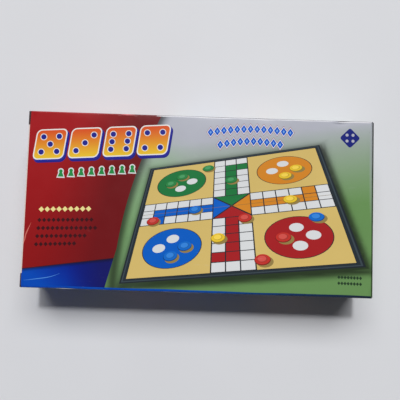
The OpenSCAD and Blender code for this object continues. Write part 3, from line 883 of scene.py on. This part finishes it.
def back_art():
    """What is printed on the back: a plain view of the board, and rows of dice and pawns."""
    art = [
        (box_of(-RAW_END, -SPAN, RAW_END, BACK_SPAN), back_ink),
        (box_of(-RAW_END, -SPAN, RAW_END, -53), blue_ink_of_back),
        (box_of(-RAW_END, 55, RAW_END, BACK_SPAN), (150, 32, 36)),
        (soft_box(-62, 1, 101, 101, 2.5), RIM),
    ]
    art += ludo_board(lambda p: p * 94 + (-109, -46))
    for row, (ink, pips) in enumerate(zip(YARDS, (1, 3, 5, 6))):
        y = 38 - 25 * row
        art += big_die(16, y, 13, pips, 0)
        art.append((soft_box(72, y, 84, 15, 2), (188, 190, 192)))
        art.append((soft_box(72, y, 83.2, 14.2, 1.8), WHITE))
        for k in range(6):
            x = 39 + 13.2 * k
            art.append((soft_box(x, y, 10.6, 10.6, 1.2), LINE))
            art.append((soft_box(x, y, 10, 10, 1), (226, 204, 138) if k % (row + 2) else ink))
        art += little_pawn(39 + 13.2 * (row + 1), y, 6.5, ink)
    return art


def back_bead_ink(points):
    """The back's ground, carried round the bead of the left lid's crease."""
    return back_ink(-points[..., 0], points[..., 1])


back = Sheets()
board(back, wide_outline(BACK_HIGH), wide_rows(BACK_HIGH, 6), back_art(), back_place)
rod(back, (-LID_X, -FLAT_W, CARD), (-LID_X, BACK_HIGH, CARD), CARD, back_bead_ink)
back.piece("back_panel_printed", "sleeve", [PRINT, BARE], "back_panel")

# The two long sides and the glue flap.
# Board between the creases, printed on through. At each end a dust flap turns about a bead.
# The upper side is glued to the flap that comes up from the back panel inside it.
FLAP_X = 128.95
SEAM_Z = 0.4


def side_place(side):
    """Places a long side laid flat, as seen from outside: side is -1 below and 1 above."""
    def place(flat, depth):
        y = np.full(len(flat), side * HALF_W)
        points = settle(np.stack([-side * flat[:, 0], y, flat[:, 1]], 1))
        points[:, 1] -= side * depth
        return points
    return place


def upper_side_ink(x, z):
    """The ground of the front panel's upper edge, carried on down the side, seen from outside."""
    return blend(ground_ink(-x, np.full_like(x, HALF_W)), LEAF, (26 - z) / 50)


def upper_red_ink(x, z):
    """The red field carried on down the side."""
    return blend(RED, RED_EDGE, (TOP - z) / 50)


def lower_bead_ink(points):
    """The lower side's blue, carried round its two end beads."""
    return lower_side_ink(points[..., 0], points[..., 2])


def upper_bead_ink(points):
    """The upper side's red at the left end and its ground at the right one, round the beads."""
    x, z = points[..., 0], points[..., 2]
    return np.where(x[..., None] < 0, upper_red_ink(x, z), upper_side_ink(-x, z))


def race_row(cx, size):
    """Four round yards in a row, each with a white rim and four white places."""
    art = []
    for k, ink in enumerate(YARDS):
        x, z = cx + (k - 1.5) * 3.1 * size, 19
        art += [(ring_of(x, z, 1.12 * size, 32), WHITE), (ring_of(x, z, size, 32), ink)]
        for dx, dz in ((-1, 0), (1, 0), (0, 1), (0, -1)):
            place = ring_of(x + 0.42 * size * dx, z + 0.42 * size * dz, 0.2 * size, 16)
            art.append((place, WHITE))
    return art


for side, name, low_z in ((-1, "lower_side", CREASE_R), (1, "upper_side", SEAM_Z)):
    sheets = Sheets()
    high_z = TOP - CREASE_R
    outline = box_of(-FLAP_X, low_z, FLAP_X, high_z)
    if side < 0:
        bead_ink = lower_bead_ink
        art = [(outline, lower_side_ink), *race_row(-38, 8.4)]
        pips = (5, 3)
    else:
        bead_ink = upper_bead_ink
        red = box_of(-float(red_side(HALF_W)), low_z, FLAP_X, high_z)
        art = [(outline, upper_side_ink), (red, upper_red_ink), *race_row(-44, 8.4)]
        pips = (4, 6)
    art += big_die(62, 19.5, 15, pips[0], 0) + big_die(84, 19.5, 15, pips[1], 0)
    board(sheets, outline, [lattice(-FLAP_X, FLAP_X, low_z, high_z, 2.5)], art, side_place(side))
    for end in (-FLAP_X, FLAP_X):
        at = side * (HALF_W - CARD)
        rod(sheets, (end, at, CREASE_R), (end, at, TOP - CREASE_R), CARD, bead_ink)
    sheets.piece(name + "_printed", "sleeve", [PRINT, BARE], name + "_panel")


def dress(names, material):
    """Gives the CAD nodes of those names this material and nothing else."""
    for name in names:
        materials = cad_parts[name].data.materials
        materials.clear()
        materials.append(material)


dress(["glue_flap"], BARE)

# The two closures.
# Each lid turns about the bead of its panel. Beside its two slits it stands full height, and
# between them a tab tucks in under the other panel. Two dust flaps stand behind each lid.
LID_EDGE = HALF_W - 0.3
TAB_Z = 2 * CARD + 0.05
LID_TOP = TOP - CARD - 0.5
LID_LOW = 0.05
LID_OUTLINE = np.array([
    (-LID_EDGE, LID_TOP), (-LID_EDGE, LID_LOW), (-SLIT_Y, LID_LOW), (-SLIT_Y, TAB_Z),
    (SLIT_Y, TAB_Z), (SLIT_Y, LID_LOW), (LID_EDGE, LID_LOW), (LID_EDGE, LID_TOP),
])


def lid_place(turn):
    """Places a lid laid flat, as seen from outside the right end, turned over for the left."""
    def place(flat, depth):
        dent = 0.06 * np.clip(1 - (flat[:, 0] / LID_EDGE) ** 2, 0, 1) * np.sin(flat[:, 1] / 12)
        x = LID_X + CARD - depth - np.abs(dent)
        points = np.stack([x, flat[:, 0], flat[:, 1]], 1)
        return turned(points) if turn else points
    return place


def right_lid_ink(y, z):
    """The front's ground at its right end, carried down the lid and going green."""
    return blend(ground_ink(np.full_like(y, LID_X), y * 0.5), LEAF, (30 - z) / 60)


def left_lid_ink(y, z):
    """The red field carried round the left end."""
    return blend(RED, RED_LOW, z / 60)


def right_bead_ink(points):
    """The right lid's ink, carried round its bead."""
    return right_lid_ink(points[..., 1], points[..., 2])


def rubbed_ink(points):
    """The print is rubbed off the left lid's bead."""
    return 218, 206, 194


for end, turn, ink, bead_ink in (
    ("right", False, right_lid_ink, right_bead_ink), ("left", True, left_lid_ink, rubbed_ink),
):
    sheets = Sheets()
    art = [(LID_OUTLINE, ink), *race_row(0, 9.5)]
    net = lattice(-LID_EDGE, LID_EDGE, TAB_Z, LID_TOP, 4)
    board(sheets, LID_OUTLINE, [net], art, lid_place(turn), rim_slot=2 if turn else 1)
    ends = np.array([(LID_X, -SLIT_Y + 0.05, TAB_Z), (LID_X, SLIT_Y - 0.05, TAB_Z)])
    rod(sheets, *(turned(ends) if turn else ends), CARD, bead_ink)
    lid = end + "_lid"
    sheets.piece(lid + "_printed", lid, [PRINT, BARE, CUT], lid)


def coated_board():
    """Flaps and tabs: bare board inside and coated white outside.

    On a dust flap the outside lies farther than FLAP_OUT from the carton's middle. A tab is bowed
    through TAB_TURN radians about a line BOW_R above its lid's bead, and its outside lies more
    than BOW_R from that line, less half the board. The left closure is the right one turned over.
    """
    r = Recipe("coated_board")
    x, y, z = r.split(r.place())
    end = r.math("SIGN", x)
    high = r.math("MULTIPLY_ADD", r.math("SUBTRACT", z, TOP / 2 * MM), end, (TOP / 2 - BOW_Z) * MM)
    far = r.math("SUBTRACT", r.math("ABSOLUTE", x), LID_X * MM)
    across = r.math("SQRT", r.math("ADD", r.math("POWER", high, 2), r.math("POWER", far, 2)))
    tab = r.math("GREATER_THAN", across, (BOW_R - CARD / 2) * MM)
    flap = r.math("GREATER_THAN", r.math("ABSOLUTE", x), FLAP_OUT * MM)
    outside = r.math("MAXIMUM", tab, flap)
    fibre = r.noise(0.9, 5, (1.0, 0.35, 1.0), 0.65)
    flecks = r.ramp(fibre, 0.6, 0.8, 0.0, 0.35)
    bare = r.mix(flecks, light_of((218, 214, 205)), light_of((170, 162, 148)))
    cloud = r.ramp(r.noise(20), 0.3, 0.7)
    coat = r.mix(cloud, light_of((226, 227, 226)), light_of((220, 221, 222)))
    gloss = r.ramp(outside, 0, 1, 0.85, 0.42)
    colour = r.mix(outside, bare, coat)
    return r.finish(Base_Color=colour, Roughness=gloss, Normal=r.bumps(fibre, 0.02))


TAB_LONG, TAB_TURN = 34, 1.24
BOW_R = TAB_LONG / TAB_TURN
BOW_Z = TAB_Z - CARD + BOW_R
FLAP_OUT = FLAP_X + CARD / 2
dress(
    [f"{end}_{part}" for end in ("left", "right")
     for part in ("tuck_tab", "dust_flap_upper", "dust_flap_lower")],
    coated_board(),
)

# The folding case.
# Two black trays moulded in hard plastic with a fine spark-eroded grain, hinged on two steel
# pins and held shut by a sprung catch. Each tray carries half of the playing face.


def moulded(name, colour, rough, grain, scuffs=0.25):
    """Moulded plastic: an even colour with a slow cloud, fine grain, and paler rubbed patches."""
    r = Recipe(name)
    base = light_of(colour)
    cloud = r.mix(r.ramp(r.noise(7), 0.3, 0.7), base * 0.93, np.minimum(base * 1.05, 1))
    fine = r.ramp(r.noise(0.7, 4), 0.4, 0.8, 0.0, scuffs)
    rubbed = r.math("MULTIPLY", r.ramp(r.noise(11, 5), 0.55, 0.8), fine)
    colour = r.mix(rubbed, cloud, np.minimum(base * 1.2 + 0.05, 1))
    gloss = r.ramp(r.noise(3, 4), 0.2, 0.8, rough - 0.05, rough + 0.07)
    relief = r.bumps(r.noise(0.25, 2), grain)
    return r.finish(Base_Color=colour, Roughness=gloss, Normal=r.bumps(r.noise(9, 2), 0.05, relief))


def metal(name, colour, rough):
    """Drawn steel: a bright base, streaks along its length and a little dullness in patches."""
    r = Recipe(name)
    streaks = r.noise(0.4, 4, (0.05, 1.0, 1.0))
    dull = np.multiply(colour, 0.86)
    colour = r.mix(r.ramp(streaks, 0.3, 0.7), light_of(colour), light_of(dull))
    gloss = r.ramp(r.noise(2, 3), 0.2, 0.8, rough - 0.06, rough + 0.1)
    relief = r.bumps(streaks, 0.004)
    return r.finish(Base_Color=colour, Roughness=gloss, Normal=relief, Metallic=1.0)


dress(["base_half", "cover_half"], moulded("case_plastic", (44, 47, 52), 0.42, 0.02))
dress(["hinge_pin_left", "hinge_pin_right"], metal("pin_steel", (196, 198, 202), 0.25))


def sheet_place(low, high, up):
    """Places half of the playing face, laid flat, in the box of its steel sheet."""
    def place(flat, depth):
        x, y = flat[:, 0], flat[:, 1]
        if up:
            return np.stack([x, y, np.full_like(x, high[2] - depth)], 1)
        return np.stack([x, low[1] + high[1] - y, np.full_like(x, low[2] + depth)], 1)
    return place


def printed_steel():
    """Tinplate printed and lacquered: the ink under a glossy coat, with bare metal at the cut."""
    r = Recipe("printed_steel")
    colour = r.ink(r.ramp(r.noise(30), 0.25, 0.75, 0.97, 1.02))
    gloss = r.ramp(r.noise(5), 0.2, 0.8, 0.2, 0.3)
    return r.finish(
        Base_Color=colour, Roughness=gloss, Normal=r.bumps(r.noise(14, 2), 0.02),
        Coat_Weight=0.5, Coat_Roughness=0.08,
    )


TIN, TIN_EDGE = printed_steel(), metal("cut_steel", (176, 178, 182), 0.35)
for name, body, up in (("cover_play_sheet", "case_cover", 1), ("base_play_sheet", "case_base", 0)):
    low, high = (np.array(corner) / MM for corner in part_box(name))
    size, middle = high - low, (low + high) / 2

    def on_sheet(points):
        """The unit square's lower or upper half, spread over the sheet inside a narrow margin."""
        share = points * (0.96, 1.92) + (0.02, 0.04 if up else -0.96)
        return low[:2] + size[:2] * share

    outline = soft_box(middle[0], middle[1], size[0], size[1], 1.85)
    net = lattice(low[0], high[0], low[1], high[1], 12)
    sheets = Sheets()
    art = [(outline, FACE), *ludo_board(on_sheet, 0.0 if up else 0.5, 0.5 if up else 1.0)]
    board(sheets, outline, [net], art, sheet_place(low, high, up), size[2])
    sheets.piece(name.replace("play", "printed"), body, [TIN, TIN_EDGE], name)

# What the case holds.
# Sixteen turned pawns in four colours, each with a ferrite disc in its foot, one die with its
# pips sunk and painted, and the rules on a folded strip of uncoated paper.
PAWNS = {
    "red": (190, 36, 36), "green": (34, 126, 62), "blue": (16, 92, 192), "yellow": (240, 198, 44),
}
for name, colour in PAWNS.items():
    plastic = moulded(name + "_pawn_plastic", colour, 0.3, 0.008, 0.15)
    dress([f"{name}_pawn_{k}" for k in (1, 2, 3, 4)], plastic)
ferrite = moulded("magnet_ferrite", (52, 52, 56), 0.6, 0.03)
dress([name + "_pawn_magnets" for name in PAWNS], ferrite)


def die_plastic():
    """White plastic, with black paint in the pips: where the surface is below the cube's faces.

    The cube's own rounded edges are below them too, but farther from its middle.
    """
    r = Recipe("die_plastic")
    low, high = (np.array(corner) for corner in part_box("die"))
    half = (high - low).max() / 2
    point = r.vector("SUBTRACT", r.place(), (low + high) / 2)
    x, y, z = r.split(r.vector("ABSOLUTE", point))
    out = r.math("MAXIMUM", r.math("MAXIMUM", x, y), z)
    far = r.vector("LENGTH", point, out=1)
    sunk = r.ramp(out, half - 0.12 * MM, half - 0.05 * MM, 1, 0)
    core = r.ramp(far, half * 1.38, half * 1.42, 1, 0)
    paint = r.math("MULTIPLY", sunk, core)
    cloud = r.ramp(r.noise(5), 0.3, 0.7)
    cloud = r.mix(cloud, light_of((232, 230, 224)), light_of((240, 239, 235)))
    colour = r.mix(paint, cloud, light_of((26, 26, 30)))
    gloss = r.ramp(paint, 0, 1, 0.24, 0.5)
    return r.finish(Base_Color=colour, Roughness=gloss, Normal=r.bumps(r.noise(0.3), 0.005))


dress(["die"], die_plastic())


def leaflet_paper():
    """Uncoated paper: a soft white with fibres and a slow cockle."""
    r = Recipe("leaflet_paper")
    fibre = r.noise(0.6, 5, (0.4, 1.0, 1.0), 0.65)
    colour = r.mix(r.ramp(fibre, 0.3, 0.8), light_of((238, 236, 230)), light_of((220, 217, 209)))
    relief = r.bumps(fibre, 0.01)
    return r.finish(Base_Color=colour, Roughness=0.9, Normal=r.bumps(r.noise(18, 2), 0.3, relief))


dress(["rules_leaflet"], leaflet_paper())
